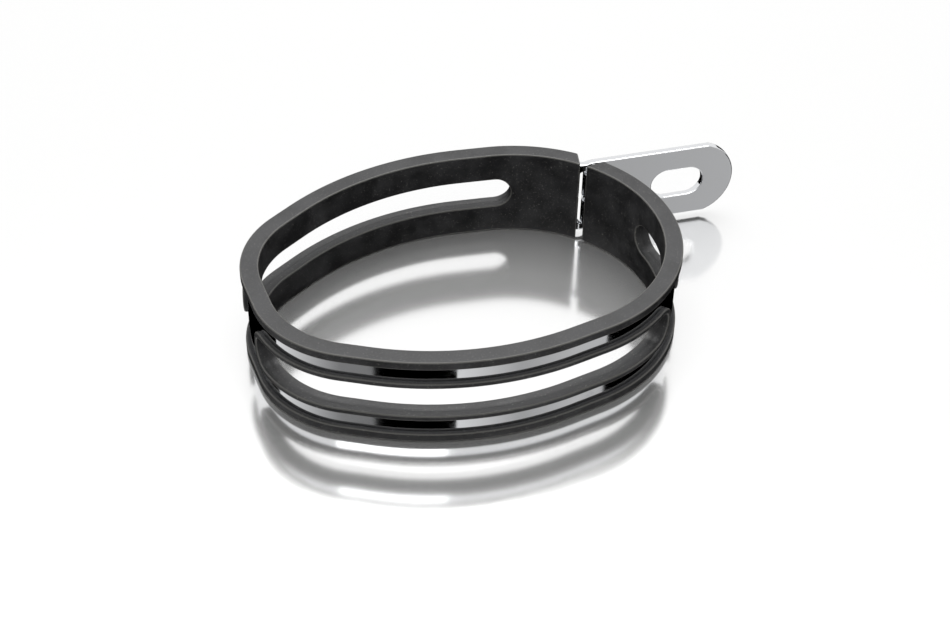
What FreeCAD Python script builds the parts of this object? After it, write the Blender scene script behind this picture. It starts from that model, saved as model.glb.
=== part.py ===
"""Rubber-lined band clamp that hangs a tri-oval silencer from a bracket by one slotted ear.

The frame: +Z runs along the silencer, with the clamp's lower rim on Z = 0. The origin is the
centre of the silencer seat. +X runs along the mounting ear, towards its free end.
The plan is drawn as paths. A station is a distance along a path in millimetres, and an offset
is a distance to the right of it, which on the seat outline is outwards, from rubber to steel.
The steel strap and the rubber liner are each one springy piece on the real clamp. Here both are
divided in the middle of the solid bridge opposite the ear, so that the ring can open on a hinge.
"""
import FreeCAD, Part
import math
import os

Vector = FreeCAD.Vector

# Silencer seat: half of a rounded hexagon, mirrored about its long axis.
SEAT_CORNERS = [(62.0, 38.0, 44.0), (-15.0, 50.2, 83.0), (-62.0, 21.5, 29.0)]  # x, y, radius
SEAT_TILT = 5.2  # degrees from the ear's direction to the seat's long axis

# Section of the band.
LINER_HEIGHT = 30.0
STRAP_HEIGHT = 26.0
STRAP_THICKNESS = 2.4
BASE_THICKNESS = 1.8  # rubber between the silencer and the strap
LIP_THICKNESS = 1.4  # rubber that folds over the strap's outer face
LIP_OVERLAP = 0.8  # how far each lip covers the steel
GROMMET_WALL = 1.0  # rubber between a slot in the steel and the opening through it

# Stations along the seat outline, counter-clockwise from the middle of the liner's gap.
OPENINGS = [(24.0, 128.0), (148.0, 281.0), (301.0, 324.7)]  # long round-ended openings
HINGE_STATION = 138.0  # middle of the solid bridge opposite the ear
OPENING_HEIGHT = 10.5

# Gap between the liner's two ends.
GAP_HEADING = 45.1  # outward direction at the middle of the gap
GAP_INSIDE = 2.2
GAP_OUTSIDE = 8.4

# Mounting ear, bent out of the strap's rear end.
EAR_ROOT_STATION = 3.2
EAR_ROOT_RADIUS = 3.2
EAR_CLIMB = 18.0  # degrees between the root bend and the ear's own line
EAR_TOE_RADIUS = 8.0
EAR_MID_Y = 37.6
EAR_END_X = 104.0
EAR_END_RISE = 9.3  # how far the round free end stands beyond its two corners
EAR_SLOT_WIDTH = 10.75
EAR_SLOT_LENGTH = 18.3
EAR_SLOT_MARGIN = 10.8  # from the slot to the ear's free end

# Two tongues on the strap's front end, hooked through a window in the ear's root.
TONGUE_HEIGHT = 9.2
TONGUE_SPACING = 1.4
TONGUE_ROOT = 3.4  # before the middle of the gap
TONGUE_STRAIGHT = 2.2
TONGUE_RADIUS = 2.6
TONGUE_TURN = 72.0
TONGUE_REACH = 5.0
WINDOW_CLEARANCE = 0.5  # above and below the tongues
WINDOW_START = 1.1  # along the ear, from the start of its root bend
WINDOW_LENGTH = 9.5

SPLIT_GAP = 0.2  # between the two halves, where the hinge divides them
CUT_MARGIN = 2.0  # how far cutting tools run past what they cut

STRAP_INSIDE = BASE_THICKNESS
STRAP_MIDDLE = BASE_THICKNESS + STRAP_THICKNESS / 2
STRAP_OUTSIDE = BASE_THICKNESS + STRAP_THICKNESS
RIM_OUTSIDE = STRAP_OUTSIDE + LIP_THICKNESS
STRAP_LOW = (LINER_HEIGHT - STRAP_HEIGHT) / 2
STRAP_HIGH = STRAP_LOW + STRAP_HEIGHT
MID_HEIGHT = LINER_HEIGHT / 2


def direction(heading):
    """Unit vector in the plan at a heading in degrees."""
    return Vector(math.cos(math.radians(heading)), math.sin(math.radians(heading)), 0)


class Path:
    """Chain of straight and round runs in the plan, each tangent to the one before."""

    def __init__(self, start, heading):
        self.runs = []
        self.end = start
        self.heading = heading
        self.length = 0.0

    def straight(self, length):
        self.runs.append((self.length, length, self.end, self.heading, None))
        self.end = self.end + direction(self.heading) * length
        self.length += length
        return self

    def bend(self, radius, turn):
        """Add an arc. A positive turn, in degrees, is to the left."""
        side = math.copysign(90.0, turn)
        centre = self.end + direction(self.heading + side) * radius
        length = radius * math.radians(abs(turn))
        self.runs.append((self.length, length, centre, self.heading, math.copysign(radius, turn)))
        self.heading += turn
        self.end = centre - direction(self.heading + side) * radius
        self.length += length
        return self

    def heading_at(self, station):
        """Direction of travel at a station."""
        for first, length, _, heading, radius in self.runs:
            if station <= first + length + 1e-9:
                break
        if radius is None:
            return heading
        return heading + math.degrees((station - first) / radius)

    def point(self, station, offset=0.0):
        """Point at a station, moved to the right of the path by an offset."""
        for first, length, anchor, heading, radius in self.runs:
            if station <= first + length + 1e-9:
                break
        if radius is None:
            along = direction(heading) * (station - first)
            return anchor + along + direction(heading - 90) * offset
        heading = heading + math.degrees((station - first) / radius)
        return anchor + direction(heading - 90) * (radius + offset)

    def edges(self, first_station, last_station, offset):
        """Edges of the line that keeps an offset from the path, between two stations."""
        low, high = sorted((first_station, last_station))
        result = []
        for first, length, _, _, radius in self.runs:
            start = max(low, first)
            stop = min(high, first + length)
            if stop - start < 1e-6:
                continue
            if last_station < first_station:
                start, stop = stop, start
            ends = self.point(start, offset), self.point(stop, offset)
            if radius is None:
                result.append(Part.LineSegment(*ends).toShape())
            else:
                middle = self.point((start + stop) / 2, offset)
                result.append(Part.Arc(ends[0], middle, ends[1]).toShape())
        return result if first_station < last_station else result[::-1]

    def strip(self, stations, offsets, heights):
        """Solid between two stations, two offsets from the path and two heights."""
        start, stop = stations
        near, far = offsets
        wire = self.edges(start, stop, near)
        wire.append(Part.LineSegment(self.point(stop, near), self.point(stop, far)).toShape())
        wire += self.edges(stop, start, far)
        wire.append(Part.LineSegment(self.point(start, far), self.point(start, near)).toShape())
        face = Part.Face(Part.Wire(wire))
        face.translate(Vector(0, 0, heights[0]))
        return face.extrude(Vector(0, 0, heights[1] - heights[0]))

    def long_hole(self, stations, offsets, height):
        """Solid that fills a round-ended opening of a given height, centred in the band."""
        radius = height / 2
        start, stop = stations
        body = self.strip((start + radius, stop - radius), offsets,
                          (MID_HEIGHT - radius, MID_HEIGHT + radius))
        ends = []
        for station in (start + radius, stop - radius):
            outward = direction(self.heading_at(station) - 90)
            base = self.point(station, offsets[0]) + Vector(0, 0, MID_HEIGHT)
            ends.append(Part.makeCylinder(radius, offsets[1] - offsets[0], base, outward))
        return body.multiFuse(ends)


def seat_outline():
    """Seat outline from the middle of the gap, counter-clockwise, back to the gap."""
    half = [Vector(x, y, 0) for x, y, _ in SEAT_CORNERS]
    corners = half + [Vector(point.x, -point.y, 0) for point in reversed(half)]
    radii = [radius for _, _, radius in SEAT_CORNERS]
    radii += radii[::-1]
    count = len(corners)
    headings = []
    for corner, following in zip(corners, corners[1:] + corners[:1]):
        side = following - corner
        headings.append(math.degrees(math.atan2(side.y, side.x)) + SEAT_TILT)
    turns = [(headings[i] - headings[i - 1]) % 360 for i in range(count)]
    trims = [radius * math.tan(math.radians(turn) / 2) for radius, turn in zip(radii, turns)]

    # The gap lies on the first corner's arc, so the path starts and ends part of the way round it.
    before_gap = (GAP_HEADING + 90 - headings[-1]) % 360
    spin = FreeCAD.Rotation(Vector(0, 0, 1), SEAT_TILT)
    side_point = spin.multVec(corners[0]) - direction(headings[-1]) * trims[0]
    centre = side_point + direction(headings[-1] + 90) * radii[0]
    outline = Path(centre + direction(GAP_HEADING) * radii[0], GAP_HEADING + 90)
    outline.bend(radii[0], turns[0] - before_gap)
    for i in range(1, count + 1):
        corner = i % count
        side = (corners[corner] - corners[i - 1]).Length
        outline.straight(side - trims[i - 1] - trims[corner])
        outline.bend(radii[corner], turns[corner] if corner else before_gap)
    return outline


def steel_opening_height():
    """Height of the openings in the steel, which the rubber lines."""
    return OPENING_HEIGHT + 2 * GROMMET_WALL


def strap_band(outline, stations):
    """Steel band between two stations, with the openings cut through it."""
    band = outline.strip(stations, (STRAP_INSIDE, STRAP_OUTSIDE), (STRAP_LOW, STRAP_HIGH))
    cut = (STRAP_INSIDE - CUT_MARGIN, STRAP_OUTSIDE + CUT_MARGIN)
    for start, stop in OPENINGS:
        ends = start - GROMMET_WALL, stop + GROMMET_WALL
        band = band.cut(outline.long_hole(ends, cut, steel_opening_height()))
    return band


def ear_path(outline):
    """Middle line of the ear's sheet, from the strap to its free end."""
    path = Path(outline.point(EAR_ROOT_STATION, STRAP_MIDDLE),
                outline.heading_at(EAR_ROOT_STATION) - 180)
    path.bend(EAR_ROOT_RADIUS, EAR_CLIMB - path.heading)
    toe_rise = EAR_TOE_RADIUS * (1 - math.cos(math.radians(EAR_CLIMB)))
    path.straight((EAR_MID_Y - toe_rise - path.end.y) / math.sin(math.radians(EAR_CLIMB)))
    path.bend(EAR_TOE_RADIUS, -EAR_CLIMB)
    return path.straight(EAR_END_X - path.end.x)


def ear_end_trim(back_y, front_y):
    """Tool that rounds the ear's free end."""
    half = STRAP_HEIGHT / 2
    radius = (half ** 2 + EAR_END_RISE ** 2) / (2 * EAR_END_RISE)
    depth = back_y - front_y
    block = Part.makeBox(EAR_END_RISE + CUT_MARGIN, depth, STRAP_HEIGHT + 2 * CUT_MARGIN,
                         Vector(EAR_END_X - EAR_END_RISE, front_y, STRAP_LOW - CUT_MARGIN))
    nose = Part.makeCylinder(radius, depth, Vector(EAR_END_X - radius, front_y, MID_HEIGHT),
                             Vector(0, 1, 0))
    return block.cut(nose)


def ear_slot(back_y, front_y):
    """Tool for the round-ended bolt slot."""
    radius = EAR_SLOT_WIDTH / 2
    far_x = EAR_END_X - EAR_SLOT_MARGIN - radius
    near_x = far_x - EAR_SLOT_LENGTH + EAR_SLOT_WIDTH
    depth = back_y - front_y
    slot = Part.makeBox(far_x - near_x, depth, EAR_SLOT_WIDTH,
                        Vector(near_x, front_y, MID_HEIGHT - radius))
    ends = [Part.makeCylinder(radius, depth, Vector(x, front_y, MID_HEIGHT), Vector(0, 1, 0))
            for x in (near_x, far_x)]
    return slot.multiFuse(ends)


def tongue_heights():
    """Low and high edges of the two tongues."""
    low = MID_HEIGHT - TONGUE_SPACING / 2 - TONGUE_HEIGHT
    high = MID_HEIGHT + TONGUE_SPACING / 2
    return [(low, low + TONGUE_HEIGHT), (high, high + TONGUE_HEIGHT)]


def strap_rear(outline):
    """Rear half of the strap, with the mounting ear."""
    band = strap_band(outline, (EAR_ROOT_STATION, HINGE_STATION - SPLIT_GAP / 2))
    path = ear_path(outline)
    half = STRAP_THICKNESS / 2
    ear = path.strip((0, path.length), (-half, half), (STRAP_LOW, STRAP_HIGH))
    lowest, highest = tongue_heights()[0][0], tongue_heights()[1][1]
    window = path.strip((WINDOW_START, WINDOW_START + WINDOW_LENGTH), (-2 * half, 2 * half),
                        (lowest - WINDOW_CLEARANCE, highest + WINDOW_CLEARANCE))
    back_y = EAR_MID_Y + CUT_MARGIN
    front_y = EAR_MID_Y - CUT_MARGIN
    ear = ear.cut([window, ear_end_trim(back_y, front_y), ear_slot(back_y, front_y)])
    return band.fuse(ear).removeSplitter()


def strap_front(outline):
    """Front half of the strap, with the two hooked tongues."""
    root = outline.length - TONGUE_ROOT
    band = strap_band(outline, (HINGE_STATION + SPLIT_GAP / 2, root))
    path = Path(outline.point(root, STRAP_MIDDLE), outline.heading_at(root))
    path.straight(TONGUE_STRAIGHT).bend(TONGUE_RADIUS, -TONGUE_TURN).straight(TONGUE_REACH)
    half = STRAP_THICKNESS / 2
    tongues = [path.strip((0, path.length), (-half, half), heights) for heights in tongue_heights()]
    return band.multiFuse(tongues).removeSplitter()


def gap_wedge(outline):
    """Tool that parts the liner's two ends, wider at the outside."""
    middle = outline.point(0)
    along = direction(GAP_HEADING + 90)
    outwards = direction(GAP_HEADING)
    flare = (GAP_OUTSIDE - GAP_INSIDE) / 2 / RIM_OUTSIDE
    near, far = -CUT_MARGIN, 2 * RIM_OUTSIDE
    corners = []
    for offset, side in ((near, -1), (near, 1), (far, 1), (far, -1)):
        half = GAP_INSIDE / 2 + flare * offset
        corners.append(middle + outwards * offset + along * (side * half))
    face = Part.Face(Part.makePolygon(corners + corners[:1]))
    face.translate(Vector(0, 0, -CUT_MARGIN))
    return face.extrude(Vector(0, 0, LINER_HEIGHT + 2 * CUT_MARGIN))


def liner_half(outline, stations, band_stations):
    """Rubber channel between two stations, with lips over the steel and round every opening."""
    liner = outline.strip(stations, (0, RIM_OUTSIDE), (0, LINER_HEIGHT))
    liner = liner.cut(strap_band(outline, band_stations))
    face_low = STRAP_LOW + LIP_OVERLAP
    face_high = STRAP_HIGH - LIP_OVERLAP
    bare = outline.strip(band_stations, (STRAP_OUTSIDE, RIM_OUTSIDE + CUT_MARGIN),
                         (face_low, face_high))
    lip = GROMMET_WALL + LIP_OVERLAP
    for start, stop in OPENINGS:
        bare = bare.cut(outline.long_hole((start - lip, stop + lip),
                                          (STRAP_OUTSIDE - CUT_MARGIN, RIM_OUTSIDE + 2 * CUT_MARGIN),
                                          OPENING_HEIGHT + 2 * lip))
    liner = liner.cut(bare)
    for ends in OPENINGS:
        liner = liner.cut(outline.long_hole(ends, (-CUT_MARGIN, RIM_OUTSIDE + CUT_MARGIN),
                                            OPENING_HEIGHT))
    return liner.cut(gap_wedge(outline))


def main():
    outline = seat_outline()
    rear_stop = HINGE_STATION - SPLIT_GAP / 2
    front_start = HINGE_STATION + SPLIT_GAP / 2
    parts = {
        "strap_rear_with_ear": strap_rear(outline),
        "strap_front_with_tongues": strap_front(outline),
        "liner_rear": liner_half(outline, (0, rear_stop), (0, rear_stop)),
        "liner_front": liner_half(outline, (front_start, outline.length),
                                  (front_start, outline.length)),
    }
    os.makedirs("parts", exist_ok=True)
    for name, shape in parts.items():
        shape.exportStep(f"parts/{name}.step")
        print(name, "solids", len(shape.Solids), "valid", shape.isValid(),
              "volume", round(shape.Volume, 1))
    hinge = outline.point(HINGE_STATION, RIM_OUTSIDE)
    print("hinge", round(hinge.x, 3), round(hinge.y, 3))


if __name__ == "__main__":
    main()
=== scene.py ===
"""Rubber-lined band clamp for a tri-oval silencer, dressed for a studio picture.

The clamp is two strips, a polished stainless strap and a moulded rubber liner. Each is made as a
maker would: a flat blank with its openings cut, its edges rounded over, then bent round the ring.
A blank is drawn in millimetres. Its X is the distance along the band, its Z the height above the
lower rim, and its Y points into the ring, so the offset outwards from the silencer's skin is -Y.
Stations are distances along the seat outline, counter-clockwise from the middle of the gap.
"""

import logging
import math
from collections.abc import Callable, Sequence
from dataclasses import dataclass
from enum import Enum

import bmesh
import bpy
from bmesh.types import BMEdge, BMesh, BMVert
from mathutils import Matrix, Quaternion, Vector


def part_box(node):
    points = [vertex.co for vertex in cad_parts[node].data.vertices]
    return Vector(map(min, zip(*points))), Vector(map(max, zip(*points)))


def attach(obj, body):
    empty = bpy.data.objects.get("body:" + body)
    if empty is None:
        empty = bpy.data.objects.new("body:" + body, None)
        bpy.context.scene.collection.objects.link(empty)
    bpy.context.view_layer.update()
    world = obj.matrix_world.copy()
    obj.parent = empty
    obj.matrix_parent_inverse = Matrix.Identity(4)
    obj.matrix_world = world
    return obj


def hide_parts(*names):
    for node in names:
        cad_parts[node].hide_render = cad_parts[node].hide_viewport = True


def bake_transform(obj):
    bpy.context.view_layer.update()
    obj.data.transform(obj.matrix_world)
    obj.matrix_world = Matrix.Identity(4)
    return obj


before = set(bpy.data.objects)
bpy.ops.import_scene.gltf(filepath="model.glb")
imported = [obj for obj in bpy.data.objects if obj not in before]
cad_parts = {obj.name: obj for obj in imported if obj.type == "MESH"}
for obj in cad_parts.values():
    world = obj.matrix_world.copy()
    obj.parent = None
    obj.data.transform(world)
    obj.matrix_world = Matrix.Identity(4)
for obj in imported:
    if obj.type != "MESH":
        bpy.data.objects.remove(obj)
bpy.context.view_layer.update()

LOG = logging.getLogger("band_clamp")

MILLIMETRE = 0.001
WELD = 0.01  # vertices closer than this, in millimetres, are one
ROUNDED = "rounded"  # attribute of the faces that round an edge over
TOLERANCE = 1e-4  # slack in comparing directions and in cutting a blank
SHARP_EDGE = 50.0  # degrees between faces, over which an outside edge is rounded


class Half(Enum):
    """Parts of the ring, by how they move as it opens."""

    REAR = "rear"
    BRIDGE = "bridge"
    FRONT = "front"


def flat(station: float, offset: float, height: float) -> Vector:
    """Point of a flat blank, from a station, an offset outwards and a height."""
    return Vector((station, -offset, height))


def heading_vector(heading: float) -> Vector:
    """Unit vector in the plan at a heading in degrees."""
    return Vector((math.cos(math.radians(heading)), math.sin(math.radians(heading)), 0.0))


@dataclass
class Run:
    """One straight or round stretch of a route.

    A straight run keeps its start in anchor. A round run keeps its centre there, and its radius is
    positive where it turns left.
    """

    first: float
    length: float
    anchor: Vector
    heading: float
    radius: float | None


class Route:
    """Chain of tangent straight and round runs in the plan, in millimetres."""

    def __init__(self, start: Vector, heading: float) -> None:
        """Begin a route at a point, facing a heading in degrees."""
        self.runs: list[Run] = []
        self.end = start
        self.heading = heading
        self.length = 0.0

    def straight(self, length: float) -> "Route":
        """Add a straight run and return the route."""
        self.runs.append(Run(self.length, length, self.end.copy(), self.heading, None))
        self.end = self.end + heading_vector(self.heading) * length
        self.length += length
        return self

    def bend(self, radius: float, turn: float) -> "Route":
        """Add a round run and return the route.

        Args:
            radius: radius of the arc.
            turn: degrees turned, positive to the left.

        Returns:
            The same route.
        """
        side = math.copysign(90.0, turn)
        centre = self.end + heading_vector(self.heading + side) * radius
        length = radius * math.radians(abs(turn))
        signed_radius = math.copysign(radius, turn)
        self.runs.append(Run(self.length, length, centre, self.heading, signed_radius))
        self.heading += turn
        self.end = centre - heading_vector(self.heading + side) * radius
        self.length += length
        return self

    def place(self, station: float, offset: float) -> tuple[Vector, float]:
        """Find a point beside the route.

        Args:
            station: distance along the route.
            offset: distance to the right of it.

        Returns:
            The point in the plan, and the heading of the route there.
        """
        run = next((r for r in self.runs if station <= r.first + r.length), self.runs[-1])
        along = station - run.first
        if run.radius is None:
            point = run.anchor + heading_vector(run.heading) * along
            return point + heading_vector(run.heading - 90) * offset, run.heading
        heading = run.heading + math.degrees(along / run.radius)
        return run.anchor + heading_vector(heading - 90) * (run.radius + offset), heading


@dataclass(frozen=True)
class Opening:
    """Round-cornered opening in a blank."""

    start: float
    stop: float
    height: float
    corner: float

    def grown(self, margin: float) -> "Opening":
        """The same opening with a margin added all round."""
        return Opening(self.start - margin, self.stop + margin, self.height + 2 * margin,
                       self.corner + margin)


@dataclass(frozen=True)
class Seat:
    """Outline of the silencer that the liner grips."""

    corners: tuple[tuple[float, float, float], ...] = ((62.0, 38.0, 44.0), (-15.0, 50.2, 83.0),
                                                       (-62.0, 21.5, 29.0))
    tilt: float = 5.2
    gap_heading: float = 45.1

    def outline(self) -> Route:
        """Rounded hexagon, mirrored about its long axis, from the middle of the gap and back."""
        half = [Vector((x, y, 0.0)) for x, y, _ in self.corners]
        corners = half + [Vector((point.x, -point.y, 0.0)) for point in reversed(half)]
        radii = [radius for _, _, radius in self.corners]
        radii += radii[::-1]
        headings = []
        for corner, following in zip(corners, corners[1:] + corners[:1]):
            side = following - corner
            headings.append(math.degrees(math.atan2(side.y, side.x)) + self.tilt)
        turns = [(headings[i] - headings[i - 1]) % 360 for i in range(len(corners))]
        trims = [r * math.tan(math.radians(turn) / 2) for r, turn in zip(radii, turns)]
        before_gap = (self.gap_heading + 90 - headings[-1]) % 360
        first_corner = Matrix.Rotation(math.radians(self.tilt), 3, "Z") @ corners[0]
        side_point = first_corner - heading_vector(headings[-1]) * trims[0]
        centre = side_point + heading_vector(headings[-1] + 90) * radii[0]
        route = Route(centre + heading_vector(self.gap_heading) * radii[0], self.gap_heading + 90)
        route.bend(radii[0], turns[0] - before_gap)
        for i in range(1, len(corners) + 1):
            corner = i % len(corners)
            side_length = (corners[corner] - corners[i - 1]).length
            route.straight(side_length - trims[i - 1] - trims[corner])
            route.bend(radii[corner], turns[corner] if corner else before_gap)
        return route


@dataclass(frozen=True)
class Section:
    """Sizes of the band's cross-section, and the places of its openings."""

    liner_height: float = 30.0
    strap_height: float = 26.0
    strap_thickness: float = 2.4
    base: float = 1.8
    lip: float = 1.4
    lip_overlap: float = 0.8
    grommet_wall: float = 1.0
    opening_height: float = 10.5
    opening_spans: tuple[tuple[float, float], ...] = ((24.0, 128.0), (148.0, 281.0),
                                                      (301.0, 324.7))
    cell_margin: float = 10.0
    seams: tuple[float, float] = (130.4, 145.6)

    @property
    def middle(self) -> float:
        """Height of the band's middle line."""
        return self.liner_height / 2

    @property
    def strap_middle(self) -> float:
        """Offset of the strap's middle surface."""
        return self.base + self.strap_thickness / 2

    @property
    def strap_outside(self) -> float:
        """Offset of the strap's outer face."""
        return self.base + self.strap_thickness

    @property
    def rim(self) -> float:
        """Offset of the liner's outermost face."""
        return self.strap_outside + self.lip

    @property
    def strap_low(self) -> float:
        """Height of the strap's lower edge."""
        return (self.liner_height - self.strap_height) / 2

    def openings(self) -> list[Opening]:
        """Openings through the rubber."""
        radius = self.opening_height / 2
        return [Opening(start, stop, self.opening_height, radius)
                for start, stop in self.opening_spans]


@dataclass(frozen=True)
class RingSteps:
    """How finely the edge of an opening is drawn."""

    corner: int = 24  # steps round each corner, an even number
    side: int = 1  # steps up each straight side between the corners
    along: float = 0.98  # spacing along the straight long sides


@dataclass(frozen=True)
class Border:
    """Outline of the stretch of sheet that is filled round one opening."""

    low: float
    high: float
    near: Callable[[float], float]  # station of the low end, at a height
    far: Callable[[float], float]  # station of the high end, at a height


@dataclass
class Ring:
    """Closed chain of vertices round an opening, and the way out of the opening at each."""

    verts: list[BMVert]
    outward: list[Vector]


class Blank:
    """Flat sheet of a strip, grown outwards from its openings."""

    def __init__(self) -> None:
        """Start with an empty sheet."""
        self.mesh: BMesh = bmesh.new()

    def grow(self, chain: Sequence[BMVert], places: Sequence[Vector],
             closed: bool) -> list[BMVert]:
        """Extrude a chain of vertices to new places.

        Args:
            chain: vertices in order.
            places: where each one's copy goes.
            closed: True if the last vertex joins the first.

        Returns:
            The new vertices, in the same order.
        """
        pairs = list(zip(chain, chain[1:]))
        if closed:
            pairs.append((chain[-1], chain[0]))
        edges = [self.edge_between(a, b) for a, b in pairs]
        made = bmesh.ops.extrude_edge_only(self.mesh, edges=edges)["geom"]
        fresh = {item for item in made if isinstance(item, BMVert)}
        copies = []
        for vert, place in zip(chain, places):
            copy = next(e.other_vert(vert) for e in vert.link_edges if e.other_vert(vert) in fresh)
            copy.co = place
            copies.append(copy)
        return copies

    def edge_between(self, a: BMVert, b: BMVert) -> BMEdge:
        """Edge that joins two neighbouring vertices."""
        return next(edge for edge in a.link_edges if edge.other_vert(a) is b)

    def trail(self, first: BMVert, hub: Vector, turn: float, step: Vector,
              steps: int) -> list[BMVert]:
        """Draw a line of vertices by turning or moving one.

        Args:
            first: vertex that the line starts from.
            hub: point that it turns round, in the plane of the sheet.
            turn: angle of the whole turn, in radians.
            step: move at each step.
            steps: number of steps.

        Returns:
            The vertices in order, the first included.
        """
        if not steps:
            return [first]
        known = set(self.mesh.verts)
        bmesh.ops.spin(self.mesh, geom=[first], cent=hub, axis=(0.0, -1.0, 0.0), dvec=step,
                       angle=turn, steps=steps, use_merge=False, use_normal_flip=False,
                       use_duplicate=False)
        fresh = [vert for vert in self.mesh.verts if vert not in known]
        return [first] + sorted(fresh, key=lambda vert: (vert.co - first.co).length)

    def ring(self, opening: Opening, offset: float, middle: float, steps: RingSteps) -> Ring:
        """Draw the edge of an opening.

        Args:
            opening: the opening.
            offset: offset of the sheet from the seat.
            middle: height of the opening's centre.
            steps: how finely it is drawn.

        Returns:
            The ring, counter-clockwise from the side at the far station.
        """
        mesh = self.mesh
        reach_x = (opening.stop - opening.start) / 2 - opening.corner
        reach_z = opening.height / 2 - opening.corner
        centre = flat((opening.start + opening.stop) / 2, offset, middle)
        arcs: list[list[BMVert]] = []
        for quarter, (sign_x, sign_z) in enumerate(((1, 1), (-1, 1), (-1, -1), (1, -1))):
            hub = centre + Vector((sign_x * reach_x, 0.0, sign_z * reach_z))
            turned = Matrix.Rotation(math.pi / 2 * quarter, 3, (0.0, -1.0, 0.0))
            out = turned @ Vector((1.0, 0.0, 0.0))
            first = mesh.verts.new(hub + out * opening.corner)
            arcs.append(self.trail(first, hub, math.pi / 2, Vector(), steps.corner))
        chain: list[BMVert] = []
        for quarter, (arc, following) in enumerate(zip(arcs, arcs[1:] + arcs[:1])):
            last = arc[-1]
            gap = (following[0].co - last.co).length
            if gap < WELD:
                bmesh.ops.weld_verts(mesh, targetmap={last: following[0]})
                chain += arc[:-1]
                continue
            count = steps.side if quarter % 2 else max(round(gap / steps.along), 1)
            step = (following[0].co - last.co) / count
            straight = self.trail(last, last.co.copy(), 0.0, step, count - 1)
            mesh.edges.new((straight[-1], following[0]))
            chain += arc[:-1] + straight
        outward = []
        for vert in chain:
            local = vert.co - centre
            inner_x = max(-reach_x, min(reach_x, local.x))
            inner_z = max(-reach_z, min(reach_z, local.z))
            outward.append((local - Vector((inner_x, 0.0, inner_z))).normalized())
        return Ring(chain, outward)

    def cell(self, ring: Ring, border: Border, rows: int) -> None:
        """Fill the sheet from a ring out to a border.

        Args:
            ring: the opening's edge.
            border: the outline of the filled stretch.
            rows: rows of faces between the two.
        """
        diagonal = math.sin(math.pi / 4) + TOLERANCE
        heights: dict[int, float] = {}
        for side in (1, -1):
            members = [i for i, out in enumerate(ring.outward) if out.x * side > diagonal]
            members.sort(key=lambda i: ring.verts[i].co.z)
            for order, i in enumerate(members, start=1):
                heights[i] = border.low + (border.high - border.low) * order / (len(members) + 1)
        goals = []
        for i, (vert, out) in enumerate(zip(ring.verts, ring.outward)):
            edge = border.far if out.x > 0 else border.near
            if i in heights:
                height = heights[i]
                station = edge(height)
            else:
                height = border.high if out.z > 0 else border.low
                share = math.atan2(abs(out.x), abs(out.z)) / (math.pi / 4)
                hub = self.straight_end(ring, i)
                station = hub + (edge(height) - hub) * share
            goals.append(Vector((station, vert.co.y, height)))
        starts = [vert.co.copy() for vert in ring.verts]
        chain = ring.verts
        for row in range(1, rows + 1):
            places = [start.lerp(goal, row / rows) for start, goal in zip(starts, goals)]
            chain = self.grow(chain, places, closed=True)

    def straight_end(self, ring: Ring, index: int) -> float:
        """Station where the straight long side beside a ring vertex ends."""
        out = ring.outward[index]
        level = [vert.co.x for vert, other in zip(ring.verts, ring.outward)
                 if abs(other.x) < TOLERANCE and other.z * out.z > 0]
        if abs(out.x) < TOLERANCE:
            return ring.verts[index].co.x
        return max(level) if out.x > 0 else min(level)

    def column(self, station: float) -> list[BMVert]:
        """Vertices of the sheet's open end at a station, from low to high."""
        self.weld()
        verts = [v for v in self.mesh.verts if abs(v.co.x - station) < WELD and v.is_boundary]
        return sorted(verts, key=lambda v: v.co.z)

    def extend(self, column: list[BMVert], stop: float, step: float) -> list[BMVert]:
        """Grow the sheet from a column to another station.

        Args:
            column: vertices from low to high.
            stop: station to reach.
            step: longest spacing of the new columns.

        Returns:
            The last new column.
        """
        start = column[0].co.x
        count = max(math.ceil(abs(stop - start) / step), 1)
        for i in range(1, count + 1):
            station = start + (stop - start) * i / count
            places = [Vector((station, v.co.y, v.co.z)) for v in column]
            column = self.grow(column, places, closed=False)
        return column

    def weld(self) -> None:
        """Join vertices that lie in the same place."""
        bmesh.ops.remove_doubles(self.mesh, verts=self.mesh.verts[:], dist=WELD)

    def thicken(self, thickness: float) -> None:
        """Give the sheet its thickness, outwards from the silencer."""
        made = bmesh.ops.extrude_face_region(self.mesh, geom=self.mesh.faces[:],
                                             use_keep_orig=True)["geom"]
        fresh = [item for item in made if isinstance(item, BMVert)]
        bmesh.ops.translate(self.mesh, verts=fresh, vec=(0.0, -thickness, 0.0))

    def round_over(self, radius: float, segments: int, under_lip: float | None = None) -> None:
        """Round the sharp outside edges.

        Args:
            radius: how far the rounding reaches from each edge.
            segments: rows of faces in it.
            under_lip: offset of edges that stay sharp, or None.
        """
        bmesh.ops.recalc_face_normals(self.mesh, faces=self.mesh.faces[:])
        limit = math.radians(SHARP_EDGE)
        edges = []
        for edge in self.mesh.edges:
            pressed = under_lip is not None and all(abs(v.co.y + under_lip) < WELD
                                                    for v in edge.verts)
            if edge.is_manifold and not pressed and edge.calc_face_angle_signed() > limit:
                edges.append(edge)
        rounded = self.mesh.faces.layers.float.new(ROUNDED)
        made = bmesh.ops.bevel(self.mesh, geom=edges, offset=radius, offset_type="OFFSET",
                               segments=segments, profile=0.5, affect="EDGES",
                               clamp_overlap=True, material=-1)
        for face in made["faces"]:
            face[rounded] = 1.0
        bmesh.ops.remove_doubles(self.mesh, verts=self.mesh.verts[:], dist=WELD / 4)

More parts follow.
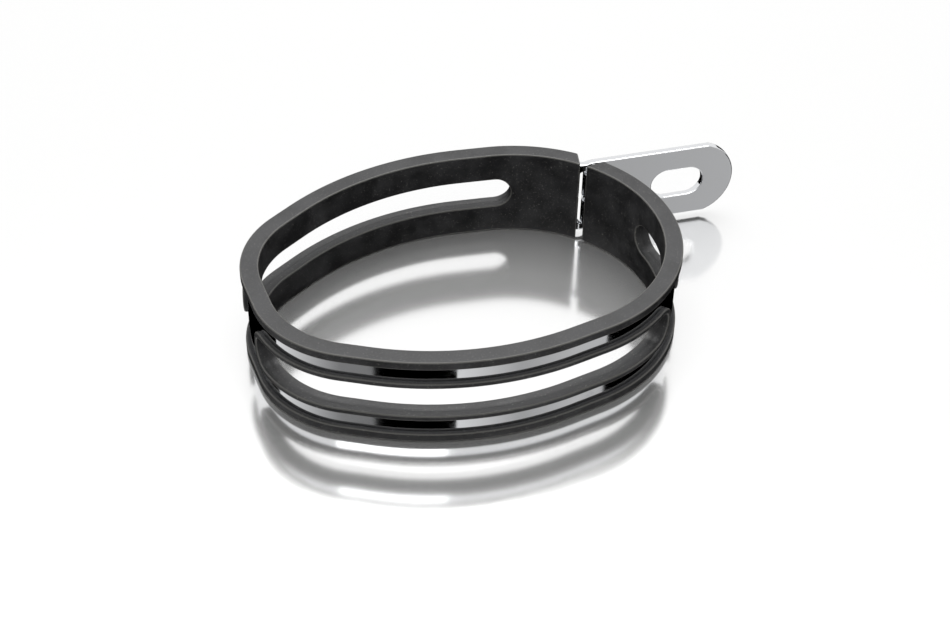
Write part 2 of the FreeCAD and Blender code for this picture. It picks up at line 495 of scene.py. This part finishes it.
    def cut_out(self, low: float | None, high: float | None) -> BMesh:
        """Copy the stretch between two stations, with its cut ends closed.

        Args:
            low: lowest station, or None for the sheet's own end.
            high: highest station, or None for the sheet's own end.

        Returns:
            The copy.
        """
        piece = self.mesh.copy()
        for station, normal in ((low, (-1.0, 0.0, 0.0)), (high, (1.0, 0.0, 0.0))):
            if station is None:
                continue
            everything = piece.verts[:] + piece.edges[:] + piece.faces[:]
            bmesh.ops.bisect_plane(piece, geom=everything, dist=TOLERANCE,
                                   plane_co=(station, 0.0, 0.0), plane_no=normal,
                                   clear_outer=True)
            rim = [e for e in piece.edges if e.is_boundary]
            bmesh.ops.holes_fill(piece, edges=rim, sides=0)
            for edge in rim:
                edge.smooth = False
        bmesh.ops.recalc_face_normals(piece, faces=piece.faces[:])
        return piece

    def sweep(self, chain: Sequence[BMVert], ways: Sequence[Vector],
              profile: Sequence[tuple[float, float]], closed: bool) -> None:
        """Grow a moulded edge from a chain of vertices on the skin side.

        Args:
            chain: vertices in order.
            ways: direction, at each vertex, in which the profile's first number is measured.
            profile: distance along the way and offset outwards, for each line of the edge.
            closed: True if the last vertex joins the first.
        """
        starts = [vert.co.copy() for vert in chain]
        for distance, offset in profile:
            places = [start + way * distance + flat(0.0, offset, 0.0)
                      for start, way in zip(starts, ways)]
            chain = self.grow(chain, places, closed)

    def close_ends(self) -> None:
        """Fill the open ends of a strip."""
        rim = [edge for edge in self.mesh.edges if edge.is_boundary]
        bmesh.ops.holes_fill(self.mesh, edges=rim, sides=0)


@dataclass(frozen=True)
class Ear:
    """Slotted ear bent out of the strap's rear end, with a window in its root."""

    end_x: float
    root_station: float = 3.2
    root_radius: float = 3.2
    climb: float = 18.0
    toe_radius: float = 8.0
    middle_y: float = 37.6
    end_rise: float = 9.3
    slot_width: float = 10.75
    slot_length: float = 18.3
    slot_margin: float = 10.8
    window_start: float = 1.1
    window_length: float = 9.5
    window_height: float = 20.8
    window_corner: float = 1.0

    def route(self, outline: Route, section: Section) -> Route:
        """Middle line of the ear's sheet, from the strap to the free end."""
        start, heading = outline.place(self.root_station, section.strap_middle)
        route = Route(start, heading - 180)
        route.bend(self.root_radius, self.climb - route.heading)
        toe_rise = self.toe_radius * (1 - math.cos(math.radians(self.climb)))
        rise = self.middle_y - toe_rise - route.end.y
        route.straight(rise / math.sin(math.radians(self.climb)))
        route.bend(self.toe_radius, -self.climb)
        return route.straight(self.end_x - route.end.x)

    def slot(self, free_end: float) -> Opening:
        """Bolt slot, in stations.

        Args:
            free_end: station of the ear's free end.

        Returns:
            The slot.
        """
        start = free_end + self.slot_margin
        return Opening(start, start + self.slot_length, self.slot_width, self.slot_width / 2)

    def window(self) -> Opening:
        """Window that the tongues hook through, in stations."""
        stop = self.root_station - self.window_start
        return Opening(stop - self.window_length, stop, self.window_height, self.window_corner)


@dataclass(frozen=True)
class Tongues:
    """Two tongues on the strap's front end, hooked through the window in the ear's root."""

    height: float = 9.2
    spacing: float = 1.4
    root: float = 3.4
    straight: float = 2.2
    radius: float = 2.6
    turn: float = 72.0
    reach: float = 5.0

    def route(self, outline: Route, section: Section) -> Route:
        """Middle line of the tongues' sheet, from the strap to their tips."""
        start, heading = outline.place(outline.length - self.root, section.strap_middle)
        route = Route(start, heading).straight(self.straight)
        return route.bend(self.radius, -self.turn).straight(self.reach)

    def edges(self, middle: float) -> list[float]:
        """Heights of the tongues' long edges, from low to high."""
        inner = self.spacing / 2
        outer = inner + self.height
        return [middle + side for side in (-outer, -inner, inner, outer)]


class BandLine:
    """Line that the blanks are bent to: round the seat, out along the ear, in at the tongues."""

    def __init__(self, seat: Seat, section: Section, ear: Ear, tongues: Tongues) -> None:
        """Lay out the three routes."""
        self.section = section
        self.outline = seat.outline()
        self.ear_root = ear.root_station
        self.ear = ear.route(self.outline, section)
        self.tongue_root = self.outline.length - tongues.root
        self.hook = tongues.route(self.outline, section)

    def place(self, station: float, offset: float) -> tuple[Vector, float]:
        """Find where a point of a flat blank goes.

        Args:
            station: the point's station.
            offset: its offset outwards.

        Returns:
            The point in the plan and the heading that the blank's X takes there, in degrees.
        """
        beyond = offset - self.section.strap_middle
        if station < self.ear_root:
            point, heading = self.ear.place(self.ear_root - station, -beyond)
            return point, heading + 180
        if station > self.tongue_root:
            return self.hook.place(station - self.tongue_root, beyond)
        return self.outline.place(station, offset)

    def place_liner(self, station: float, offset: float) -> tuple[Vector, float]:
        """Find where a point of the liner's flat blank goes, which has no ear and no tongues."""
        return self.outline.place(station, offset)

    def bend(self, piece: BMesh, name: str, place: Callable[[float, float], tuple[Vector, float]],
             finish: bpy.types.Material) -> bpy.types.Object:
        """Bend one stretch of a flat blank and make it an object.

        Shading normals are worked out on the flat blank, where they are exact, and bent with it.

        Args:
            piece: the stretch, which is used up.
            name: name of the object.
            place: where a point of the blank goes.
            finish: its material.

        Returns:
            The object, in metres, at the origin.
        """
        for face in piece.faces:
            face.smooth = True
        blank = bpy.data.meshes.new(name + "_blank")
        piece.to_mesh(blank)
        piece.free()
        made = bpy.data.objects.new(name, blank)
        bpy.context.scene.collection.objects.link(made)
        weighted = made.modifiers.new("face_weighted", "WEIGHTED_NORMAL")
        weighted.keep_sharp = True
        depsgraph = bpy.context.evaluated_depsgraph_get()
        mesh = bpy.data.meshes.new_from_object(made.evaluated_get(depsgraph))
        made.modifiers.clear()
        normals = [corner.vector.copy() for corner in mesh.corner_normals]
        band = mesh.uv_layers.new(name="band")
        turns = []
        unrolled = [vert.co.copy() for vert in mesh.vertices]
        for vert in mesh.vertices:
            point, heading = place(vert.co.x, -vert.co.y)
            turns.append(Quaternion((0.0, 0.0, 1.0), math.radians(heading)))
            vert.co = Vector((point.x, point.y, vert.co.z)) * MILLIMETRE
        for loop, cell in zip(mesh.loops, band.uv):
            spot = unrolled[loop.vertex_index]
            cell.vector = (spot.x, spot.z - spot.y)
        mesh.normals_split_custom_set([turns[loop.vertex_index] @ normal
                                       for loop, normal in zip(mesh.loops, normals)])
        mesh.name = name
        mesh.materials.append(finish)
        made.data = mesh
        bpy.data.meshes.remove(blank)
        return made

    def dress(self, blank: Blank, strip: "Strip", finish: bpy.types.Material) -> None:
        """Cut a finished blank beside the hinge, bend its stretches and fix them to the bodies.

        The bridge opposite the ear is where the real strip flexes. The stretch between the seams
        is left where it was bent, and the others ride on the ring's halves.

        Args:
            blank: the strip's flat blank.
            strip: which strip it is.
            finish: its material.
        """
        first, second = self.section.seams
        place = self.place if strip is Strip.STRAP else self.place_liner
        for half, low, high in ((Half.REAR, None, first), (Half.BRIDGE, first, second),
                                (Half.FRONT, second, None)):
            made = self.bend(blank.cut_out(low, high), f"{strip.value.piece}_{half.value}", place,
                             finish)
            if half is Half.BRIDGE:
                start, end = self.blend_line()
                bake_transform(made)
            else:
                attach(made, f"{half.value}_half")
                node = strip.value.rear_node if half is Half.REAR else strip.value.front_node
                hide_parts(node)
            LOG.info("%s: %d faces", made.name, len(made.data.polygons))
        blank.mesh.free()

    def blend_line(self) -> tuple[Vector, Vector]:
        """Ends of a line across the bridge, clear of both of its seams."""
        first, second = self.section.seams
        offsets = (0.0, self.section.rim)
        start_y = min(self.outline.place(first, offset)[0].y for offset in offsets)
        end_y = max(self.outline.place(second, offset)[0].y for offset in offsets)
        middle = self.outline.place((first + second) / 2, self.section.strap_middle)[0]
        ends = [Vector((middle.x, y, self.section.middle)) * MILLIMETRE for y in (start_y, end_y)]
        return ends[0], ends[1]


@dataclass(frozen=True)
class StripNames:
    """Names that belong to one strip."""

    piece: str
    rear_node: str
    front_node: str
    slot: str


class Strip(Enum):
    """The clamp's two strips."""

    STRAP = StripNames("steel_strap", "strap_rear_with_ear", "strap_front_with_tongues",
                       "polished_steel")
    LINER = StripNames("rubber_liner", "liner_rear", "liner_front", "black_rubber")


@dataclass(frozen=True)
class SteelStrap:
    """Stainless strap with three long openings, the ear and the tongues."""

    section: Section
    ear: Ear
    tongues: Tongues
    line: BandLine
    edge_radius: float = 0.35  # the real edge looks rounder, about 0.5 to 0.8
    edge_segments: int = 4
    rows: int = 8
    window_rows: int = 3
    window_near: float = 3.0
    window_far: float = 2.7
    window_steps: RingSteps = RingSteps(corner=8, side=16, along=0.36)
    slot_far: float = 10.0
    column_step: float = 1.0
    toe_step: float = 0.5
    hook_step: float = 0.3
    tip_step: float = 1.2

    def blank(self) -> Blank:
        """Flat strap, with its edges rounded over."""
        blank = Blank()
        section = self.section
        high = section.strap_low + section.strap_height
        draw_band_sheet(blank, section, section.base, section.grommet_wall, self.rows)
        self.draw_window(blank, high)
        self.draw_slot(blank, high)
        blank.weld()
        self.draw_tongues(blank)
        blank.weld()
        blank.thicken(section.strap_thickness)
        blank.round_over(self.edge_radius, self.edge_segments)
        return blank

    def draw_window(self, blank: Blank, high: float) -> None:
        """Add the bent root with its window to the sheet, and join it to the band."""
        window = self.ear.window()
        near, far = window.start - self.window_near, window.stop + self.window_far
        ring = blank.ring(window, self.section.base, self.section.middle, self.window_steps)
        border = Border(self.section.strap_low, high, lambda height: near, lambda height: far)
        blank.cell(ring, border, self.window_rows)
        first = self.section.opening_spans[0][0] - self.section.cell_margin
        blank.extend(blank.column(first), far, self.column_step)

    def draw_slot(self, blank: Blank, high: float) -> None:
        """Add the ear's round end with the bolt slot, and join it to the window."""
        free_end = self.ear.root_station - self.line.ear.length
        slot = self.ear.slot(free_end)
        half = self.section.strap_height / 2
        radius = (half ** 2 + self.ear.end_rise ** 2) / (2 * self.ear.end_rise)
        far = slot.stop + self.slot_far

        def nose(height: float) -> float:
            """Station of the free end at a height."""
            level = height - self.section.middle
            return free_end + radius - math.sqrt(radius ** 2 - level ** 2)

        ring = blank.ring(slot, self.section.base, self.section.middle, RingSteps())
        border = Border(self.section.strap_low, high, nose, lambda height: far)
        blank.cell(ring, border, self.rows)
        near_window = self.ear.window().start - self.window_near
        blank.extend(blank.column(near_window), far, self.toe_step)

    def draw_tongues(self, blank: Blank) -> None:
        """Grow the sheet's front end to the gap and on into the two tongues."""
        last = self.section.opening_spans[-1][1] + self.section.cell_margin
        column = blank.extend(blank.column(last), self.line.tongue_root - self.column_step,
                              self.column_step)
        edges = self.tongues.edges(self.section.middle)
        picks = [min(range(len(column)), key=lambda i, edge=edge: abs(column[i].co.z - edge))
                 for edge in edges]
        snapped = {pick: edge for pick, edge in zip(picks, edges)}
        places = [Vector((self.line.tongue_root, vert.co.y, snapped.get(i, vert.co.z)))
                  for i, vert in enumerate(column)]
        column = blank.grow(column, places, closed=False)
        tip = self.line.tongue_root + self.line.hook.length
        for low, high in (picks[:2], picks[2:]):
            tongue = blank.extend(column[low:high + 1], tip - self.tip_step, self.hook_step)
            blank.extend(tongue, tip, self.tip_step)


def draw_band_sheet(blank: Blank, section: Section, offset: float, margin: float,
                    rows: int) -> list[Ring]:
    """Draw the sheet round the three long openings.

    Args:
        blank: the blank to draw in.
        section: sizes of the band.
        offset: offset of the sheet from the seat.
        margin: how much larger than the rubber's its openings are.
        rows: rows of faces round each opening.

    Returns:
        The rings of the openings.
    """
    edge = section.strap_low if margin else 0.0
    rings = []
    for opening in section.openings():
        ring = blank.ring(opening.grown(margin), offset, section.middle, RingSteps())
        near = opening.start - section.cell_margin
        far = opening.stop + section.cell_margin
        border = Border(edge, section.liner_height - edge, lambda height, near=near: near,
                        lambda height, far=far: far)
        blank.cell(ring, border, rows)
        rings.append(ring)
    return rings


@dataclass(frozen=True)
class RubberLiner:
    """Moulded channel that grips the strap's edges, with a lip round every opening."""

    section: Section
    line: BandLine
    gap_inside: float = 2.2
    gap_outside: float = 8.4
    edge_radius: float = 0.45
    edge_segments: int = 3
    rows: int = 8
    column_step: float = 1.25
    parting_depth: float = 0.3
    parting_width: float = 0.8

    def blank(self) -> Blank:
        """Flat liner, with its edges rounded over."""
        blank = Blank()
        section = self.section
        rings = draw_band_sheet(blank, section, 0.0, 0.0, self.rows)
        for ring in rings:
            blank.sweep(ring.verts, ring.outward, self.grommet_profile(), closed=True)
        draw_band_sheet(blank, section, section.base, section.grommet_wall, self.rows)
        self.draw_ends(blank)
        self.draw_rims(blank)
        blank.weld()
        blank.close_ends()
        self.flare_gap(blank)
        blank.round_over(self.edge_radius, self.edge_segments, under_lip=section.strap_outside)
        return blank

    def grommet_profile(self) -> list[tuple[float, float]]:
        """Lines of the lip round an opening, from the skin side: through the hole, over and back.

        The groove half way through the hole is the mould's parting line.
        """
        section = self.section
        parting = section.rim / 2
        half = self.parting_width / 2
        reach = section.grommet_wall + section.lip_overlap
        return [(0.0, parting - half), (self.parting_depth, parting), (0.0, parting + half),
                (0.0, section.rim), (reach, section.rim), (reach, section.strap_outside),
                (section.grommet_wall, section.strap_outside),
                (section.grommet_wall, section.base)]

    def rim_profile(self) -> list[tuple[float, float]]:
        """Lines of the channel's edge, from the skin side: out, over the strap and back."""
        section = self.section
        reach = section.strap_low + section.lip_overlap
        return [(0.0, section.rim), (reach, section.rim), (reach, section.strap_outside),
                (section.strap_low, section.strap_outside), (section.strap_low, section.base)]

    def draw_ends(self, blank: Blank) -> None:
        """Grow both sheets to the gap."""
        blank.weld()
        spans = self.section.opening_spans
        first = spans[0][0] - self.section.cell_margin
        last = spans[-1][1] + self.section.cell_margin
        gap = self.gap_inside / 2
        for border, stop in ((first, gap), (last, self.line.outline.length - gap)):
            column = blank.column(border)
            for offset in (0.0, self.section.base):
                level = [vert for vert in column if abs(vert.co.y + offset) < WELD]
                blank.extend(level, stop, self.column_step)

    def draw_rims(self, blank: Blank) -> None:
        """Grow the channel's two edges from the rims of the skin-side sheet."""
        blank.weld()
        for height, way in ((0.0, 1.0), (self.section.liner_height, -1.0)):
            rim = [vert for vert in blank.mesh.verts
                   if abs(vert.co.z - height) < WELD and abs(vert.co.y) < WELD]
            rim.sort(key=lambda vert: vert.co.x)
            ways = [Vector((0.0, 0.0, way))] * len(rim)
            blank.sweep(rim, ways, self.rim_profile(), closed=False)

    def flare_gap(self, blank: Blank) -> None:
        """Lean the two ends back, so that the gap is wider outside than inside."""
        slope = (self.gap_outside - self.gap_inside) / 2 / self.section.rim
        gap = self.gap_inside / 2
        stretch = self.section.opening_spans[0][0] - self.section.cell_margin - gap
        for vert in blank.mesh.verts:
            to_start = vert.co.x - gap
            to_end = self.line.outline.length - gap - vert.co.x
            lean = slope * -vert.co.y
            vert.co.x += lean * max(1 - to_start / stretch, 0.0)
            vert.co.x -= lean * max(1 - to_end / stretch, 0.0)


def linear(colour: str) -> tuple[float, float, float, float]:
    """Turn an sRGB hex colour to the linear one that shaders take."""
    channels = [int(colour[i:i + 2], 16) / 255 for i in (1, 3, 5)]
    bright = [c / 12.92 if c <= 0.04045 else ((c + 0.055) / 1.055) ** 2.4 for c in channels]
    return bright[0], bright[1], bright[2], 1.0


def add_node(tree: bpy.types.NodeTree, kind: str, settings: dict[str, object],
             links: dict[str, bpy.types.NodeSocket] | None = None) -> bpy.types.Node:
    """Add a node to a shader.

    Args:
        tree: the shader's tree.
        kind: the node's type.
        settings: values of its inputs, by identifier, and of its own properties.
        links: sources of its inputs, by identifier.

    Returns:
        The node.
    """
    node = tree.nodes.new(kind)
    inputs = {socket.identifier: socket for socket in node.inputs}
    for name, value in settings.items():
        if name in inputs:
            inputs[name].default_value = value
        else:
            setattr(node, name, value)
    for name, source in (links or {}).items():
        tree.links.new(source, inputs[name])
    return node


def per_metre(size: float) -> float:
    """Scale of a pattern on object coordinates whose features are a size in millimetres."""
    return 1 / (size * MILLIMETRE)


def add_noise(tree: bpy.types.NodeTree, place: bpy.types.Node, size: float, detail: float,
              roughness: float, distortion: float = 0.0) -> bpy.types.NodeSocket:
    """Add noise on object coordinates.

    Args:
        tree: the shader's tree.
        place: its texture coordinates.
        size: size of the features, in millimetres.
        detail: octaves of finer noise.
        roughness: strength of the finer noise.
        distortion: how much the noise is stirred.

    Returns:
        The noise's factor.
    """
    noise = add_node(tree, "ShaderNodeTexNoise",
                     {"Scale": per_metre(size), "Detail": detail, "Roughness": roughness,
                      "Distortion": distortion}, {"Vector": place.outputs["Object"]})
    return noise.outputs["Fac"]


def new_material(name: str) -> tuple[bpy.types.Material, bpy.types.NodeTree]:
    """An empty node material and its tree."""
    material = bpy.data.materials.new(name)
    material.use_nodes = True
    material.node_tree.nodes.clear()
    return material, material.node_tree


@dataclass(frozen=True)
class PolishedStainless:
    """Stainless strip steel, rolled bright and buffed.

    It mirrors the room. Rolling leaves a slight long waviness that bends the reflections, buffing
    leaves faint lines along the strip, and handling leaves dull smudges.
    """

    colour: str = "#dcdddf"
    clean_roughness: float = 0.05
    smudged_roughness: float = 0.16
    smudge_size: float = 16.0
    smudge_range: tuple[float, float] = (0.42, 0.72)  # noise from clean to dull
    wave_size: float = 22.0
    wave_depth: float = 0.02
    line_length: float = 18.0
    line_width: float = 0.22  # wider than real buffing lines, which would be too fine to show
    line_depth: float = 0.0006

    def build(self) -> bpy.types.Material:
        """Make the material."""
        material, tree = new_material("polished_stainless")
        place = add_node(tree, "ShaderNodeTexCoord", {})
        smudges = add_noise(tree, place, self.smudge_size, 5.0, 0.62, 0.4)
        least, most = self.smudge_range
        roughness = add_node(tree, "ShaderNodeMapRange",
                             {"From Min": least, "From Max": most, "To Min": self.clean_roughness,
                              "To Max": self.smudged_roughness}, {"Value": smudges})
        band = add_node(tree, "ShaderNodeUVMap", {"uv_map": "band"})
        stretched = add_node(tree, "ShaderNodeMapping",
                             {"Scale": (1 / self.line_length, 1 / self.line_width, 1.0)},
                             {"Vector": band.outputs["UV"]})
        lines = add_node(tree, "ShaderNodeTexNoise",
                         {"Scale": 1.0, "Detail": 3.0, "Roughness": 0.7},
                         {"Vector": stretched.outputs["Vector"]})
        waves = add_noise(tree, place, self.wave_size, 1.0, 0.5)
        rolled = add_node(tree, "ShaderNodeBump", {"Distance": self.wave_depth * MILLIMETRE},
                          {"Height": waves})
        buffed = add_node(tree, "ShaderNodeBump", {"Distance": self.line_depth * MILLIMETRE},
                          {"Height": lines.outputs["Fac"], "Normal": rolled.outputs["Normal"]})
        steel = add_node(tree, "ShaderNodeBsdfPrincipled",
                         {"Base Color": linear(self.colour), "Metallic": 1.0},
                         {"Roughness": roughness.outputs["Result"],
                          "Normal": buffed.outputs["Normal"]})
        add_node(tree, "ShaderNodeOutputMaterial", {}, {"Surface": steel.outputs["BSDF"]})
        return material


@dataclass(frozen=True)
class MouldedRubber:
    """Black synthetic rubber, compression moulded.

    It is satin and very dark. The mould leaves a fine grain, the surface picks up pale dust and
    chalk, bloom makes broad patches a little greyer, and the rounded edges are painted lighter,
    partly handling wear and partly a painted highlight: the thin bright lines that the rounded
    edges catch from the light overhead.
    """

    colour: str = "#131314"
    bloom_colour: str = "#262627"
    dust_colour: str = "#8c8a86"
    roughness: float = 0.44
    worn_roughness: float = 0.6
    # lighter colour of the rounded edges: partly handling wear, partly a painted highlight of the
    # light overhead
    edge_wear_and_highlight_colour: str = "#5a5955"
    edge_wear_and_highlight: float = 0.4
    refraction: float = 1.52
    specular: float = 0.3
    bloom_size: float = 9.0
    bloom_range: tuple[float, float] = (0.4, 0.7)  # noise where the bloom begins and is full
    dust_size: float = 0.5  # real dust is finer, and would be too fine to show
    dust_range: tuple[float, float] = (0.62, 0.8)  # noise where specks begin and are full
    dust_most: float = 0.6
    grain_size: float = 0.45
    grain_depth: float = 0.035

    def build(self) -> bpy.types.Material:
        """Make the material."""
        material, tree = new_material("moulded_rubber")
        place = add_node(tree, "ShaderNodeTexCoord", {})
        bloom = add_noise(tree, place, self.bloom_size, 6.0, 0.6)
        least, most = self.bloom_range
        bloomed = add_node(tree, "ShaderNodeMapRange", {"From Min": least, "From Max": most},
                           {"Value": bloom})
        base = add_node(tree, "ShaderNodeMix",
                        {"data_type": "RGBA", "A_Color": linear(self.colour),
                         "B_Color": linear(self.bloom_colour)},
                        {"Factor_Float": bloomed.outputs["Result"]})
        specks = add_noise(tree, place, self.dust_size, 2.0, 0.8)
        sparse, dense = self.dust_range
        dusty = add_node(tree, "ShaderNodeMapRange",
                         {"From Min": sparse, "From Max": dense, "To Max": self.dust_most},
                         {"Value": specks})
        dusted = add_node(tree, "ShaderNodeMix",
                          {"data_type": "RGBA", "B_Color": linear(self.dust_colour)},
                          {"Factor_Float": dusty.outputs["Result"], "A_Color": base.outputs[2]})
        # rounded faces painted lighter: partly handling wear, partly a painted highlight standing
        # in for the bright edge lines
        rounded = add_node(tree, "ShaderNodeAttribute", {"attribute_name": ROUNDED})
        edges = add_node(tree, "ShaderNodeMath",
                         {"operation": "MULTIPLY", "Value_001": self.edge_wear_and_highlight},
                         {"Value": rounded.outputs["Fac"]})
        colour = add_node(tree, "ShaderNodeMix",
                          {"data_type": "RGBA", "B_Color": linear(self.edge_wear_and_highlight_colour)},
                          {"Factor_Float": edges.outputs["Value"], "A_Color": dusted.outputs[2]})
        roughness = add_node(tree, "ShaderNodeMapRange",
                             {"From Min": least, "From Max": most, "To Min": self.roughness,
                              "To Max": self.worn_roughness}, {"Value": bloom})
        grain = add_noise(tree, place, self.grain_size, 3.0, 0.65)
        bump = add_node(tree, "ShaderNodeBump", {"Distance": self.grain_depth * MILLIMETRE},
                        {"Height": grain})
        rubber = add_node(tree, "ShaderNodeBsdfPrincipled",
                          {"IOR": self.refraction, "Specular IOR Level": self.specular},
                          {"Base Color": colour.outputs[2], "Normal": bump.outputs["Normal"],
                           "Roughness": roughness.outputs["Result"]})
        add_node(tree, "ShaderNodeOutputMaterial", {}, {"Surface": rubber.outputs["BSDF"]})
        return material


@dataclass(frozen=True)
class Card:
    """Stretch of the wall of cards that the steel reflects, between two headings in degrees."""

    first: float
    last: float
    first_glow: float
    last_glow: float

    def build(self, name: str) -> bpy.types.Material:
        """Make the card's material, which glows evenly from one brightness to the other."""
        material, tree = new_material(name)
        place = add_node(tree, "ShaderNodeTexCoord", {})
        middle = math.radians((self.first + self.last) / 2)
        turned = add_node(tree, "ShaderNodeMapping", {"Rotation": (0.0, 0.0, -middle)},
                          {"Vector": place.outputs["Object"]})
        angle = add_node(tree, "ShaderNodeTexGradient", {"gradient_type": "RADIAL"},
                         {"Vector": turned.outputs["Vector"]})
        share = (self.last - self.first) / 720
        glow = add_node(tree, "ShaderNodeMapRange",
                        {"From Min": 0.5 - share, "From Max": 0.5 + share,
                         "To Min": self.first_glow, "To Max": self.last_glow},
                        {"Value": angle.outputs["Fac"]})
        light = add_node(tree, "ShaderNodeEmission", {}, {"Strength": glow.outputs["Result"]})
        add_node(tree, "ShaderNodeOutputMaterial", {}, {"Surface": light.outputs["Emission"]})
        return material


@dataclass(frozen=True)
class SoftLight:
    """Square soft light that faces the clamp, in metres and watts."""

    name: str
    place: tuple[float, float, float]
    width: float
    power: float

    def hang(self) -> None:
        """Add the light to the scene."""
        data = bpy.data.lights.new(self.name, "AREA")
        data.size = self.width
        data.energy = self.power
        made = bpy.data.objects.new(self.name, data)
        made.location = self.place
        made.rotation_euler = (-Vector(self.place)).to_track_quat("-Z", "Y").to_euler()
        bpy.context.scene.collection.objects.link(made)


@dataclass(frozen=True)
class Studio:
    """Pale glass table with soft light over it and light and dark cards round and under it."""

    table_colour: str = "#f3f3f2"
    table_width: float = 6.0
    table_gloss: float = 0.9
    table_roughness: float = 0.13
    table_drop: float = 0.0002  # keeps the table clear of the lower rim
    card_radius: float = 0.6
    card_depth: float = 0.9
    card_top: float = 0.002  # how far under the table the cards begin
    card_steps: int = 24
    # black sheet inside the ring, seen only in reflections: painted shade of the table under the
    # ring
    shade_mat_size: tuple[float, float, float] = (0.06, 0.046, 0.001)
    shade_mat_segments: int = 64
    room_colour: str = "#ffffff"
    room_strength: float = 1.06
    cards: tuple[Card, ...] = (Card(154, 231, 0.9, 0.22), Card(231, 265, 0.0, 0.0),
                               Card(265, 292, 0.85, 0.45), Card(292, 320, 0.45, 0.6),
                               Card(320, 514, 0.0, 0.0))
    soft_lights: tuple[SoftLight, ...] = (SoftLight("overhead", (0.1, 0.35, 1.1), 0.9, 22.0),
                                          SoftLight("front_fill", (-0.5, -0.9, 0.8), 0.7, 3.0))

    def table(self) -> None:
        """Make the table top, which the steel sees through to the cards under it."""
        mesh = bmesh.new()
        bmesh.ops.create_grid(mesh, x_segments=1, y_segments=1, size=self.table_width / 2)
        top = self.add_mesh(mesh, "table_top")
        top.location.z = -self.table_drop
        material, tree = new_material("white_glass")
        body = add_node(tree, "ShaderNodeBsdfDiffuse", {"Color": linear(self.table_colour)})
        gloss = add_node(tree, "ShaderNodeBsdfGlossy", {"Roughness": self.table_roughness})
        glass = add_node(tree, "ShaderNodeMixShader", {"Fac": self.table_gloss},
                         {"Shader": body.outputs["BSDF"], "Shader_001": gloss.outputs["BSDF"]})
        add_node(tree, "ShaderNodeOutputMaterial", {}, {"Surface": glass.outputs["Shader"]})
        top.data.materials.append(material)
        top.visible_glossy = False

    def add_mesh(self, mesh: BMesh, name: str) -> bpy.types.Object:
        """Make a stage object of a mesh, which is used up."""
        data = bpy.data.meshes.new(name)
        mesh.to_mesh(data)
        mesh.free()
        made = bpy.data.objects.new(name, data)
        bpy.context.scene.collection.objects.link(made)
        return made

    def wall(self) -> None:
        """Hang the cards under the table, where only the steel's reflections meet them."""
        for number, card in enumerate(self.cards):
            mesh = bmesh.new()
            start = heading_vector(card.first) * self.card_radius
            low = mesh.verts.new(start - Vector((0.0, 0.0, self.card_depth)))
            high = mesh.verts.new(start - Vector((0.0, 0.0, self.card_top)))
            edge = mesh.edges.new((low, high))
            bmesh.ops.spin(mesh, geom=[low, high, edge], cent=(0.0, 0.0, 0.0),
                           axis=(0.0, 0.0, 1.0), dvec=(0.0, 0.0, 0.0),
                           angle=math.radians(card.last - card.first), steps=self.card_steps,
                           use_merge=False, use_normal_flip=False, use_duplicate=False)
            made = self.add_mesh(mesh, f"card_{number}")
            made.data.materials.append(card.build(made.name))
            self.show_in_reflections_only(made)

    def mat(self) -> None:
        """Lay a black sheet in the ring, seen only in reflections: painted shade of the table
        there.
        """
        mesh = bmesh.new()
        half_x, half_y, depth = self.shade_mat_size
        bmesh.ops.create_circle(mesh, cap_ends=True, segments=self.shade_mat_segments, radius=1.0,
                                matrix=Matrix.Diagonal((half_x, half_y, 1.0, 1.0)))
        made = self.add_mesh(mesh, "painted_shade_mat")
        made.location.z = -depth
        made.data.materials.append(Card(0, 360, 0.0, 0.0).build(made.name))
        self.show_in_reflections_only(made)

    def show_in_reflections_only(self, card: bpy.types.Object) -> None:
        """Hide a card from everything but glossy reflections."""
        card.visible_camera = False
        card.visible_diffuse = False
        card.visible_shadow = False
        card.visible_transmission = False

    def lights(self) -> None:
        """Hang the soft lights and fill the room with a little light."""
        for light in self.soft_lights:
            light.hang()
        world = bpy.data.worlds.new("room")
        world.use_nodes = True
        world.node_tree.nodes.clear()
        room = add_node(world.node_tree, "ShaderNodeBackground",
                        {"Color": linear(self.room_colour), "Strength": self.room_strength})
        add_node(world.node_tree, "ShaderNodeOutputWorld", {},
                 {"Surface": room.outputs["Background"]})
        bpy.context.scene.world = world


@dataclass(frozen=True)
class Viewpoint:
    """Camera, in millimetres and degrees."""

    place: tuple[float, float, float] = (-110.54, -385.18, 331.0)
    aim: tuple[float, float, float] = (4.3, 2.5, 0.0)
    lens: float = 62.7
    roll: float = 1.2
    sensor: float = 36.0
    near: float = 10.0

    def set_up(self) -> None:
        """Make the camera and look through it."""
        data = bpy.data.cameras.new("camera")
        data.sensor_width = self.sensor
        data.lens = self.lens
        data.clip_start = self.near * MILLIMETRE
        camera = bpy.data.objects.new("camera", data)
        bpy.context.scene.collection.objects.link(camera)
        place = Vector(self.place) * MILLIMETRE
        look = (Vector(self.aim) * MILLIMETRE - place).to_track_quat("-Z", "Y")
        camera.location = place
        rolled = look @ Quaternion((0.0, 0.0, 1.0), math.radians(self.roll))
        camera.rotation_euler = rolled.to_euler()
        bpy.context.scene.camera = camera


def main() -> None:
    """Build the strips, then the studio round them."""
    logging.basicConfig(level=logging.INFO, format="%(name)s %(message)s")
    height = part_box("liner_rear")[1].z / MILLIMETRE
    end_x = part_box("strap_rear_with_ear")[1].x / MILLIMETRE
    section = Section(liner_height=height)
    ear = Ear(end_x=end_x)
    tongues = Tongues()
    line = BandLine(Seat(), section, ear, tongues)
    strap = SteelStrap(section, ear, tongues, line)
    line.dress(strap.blank(), Strip.STRAP, PolishedStainless().build())
    liner = RubberLiner(section, line)
    line.dress(liner.blank(), Strip.LINER, MouldedRubber().build())
    studio = Studio()
    studio.table()
    studio.wall()
    studio.mat()
    studio.lights()
    Viewpoint().set_up()
    bpy.context.scene.view_settings.view_transform = "Standard"


if __name__ == "__main__":
    main()
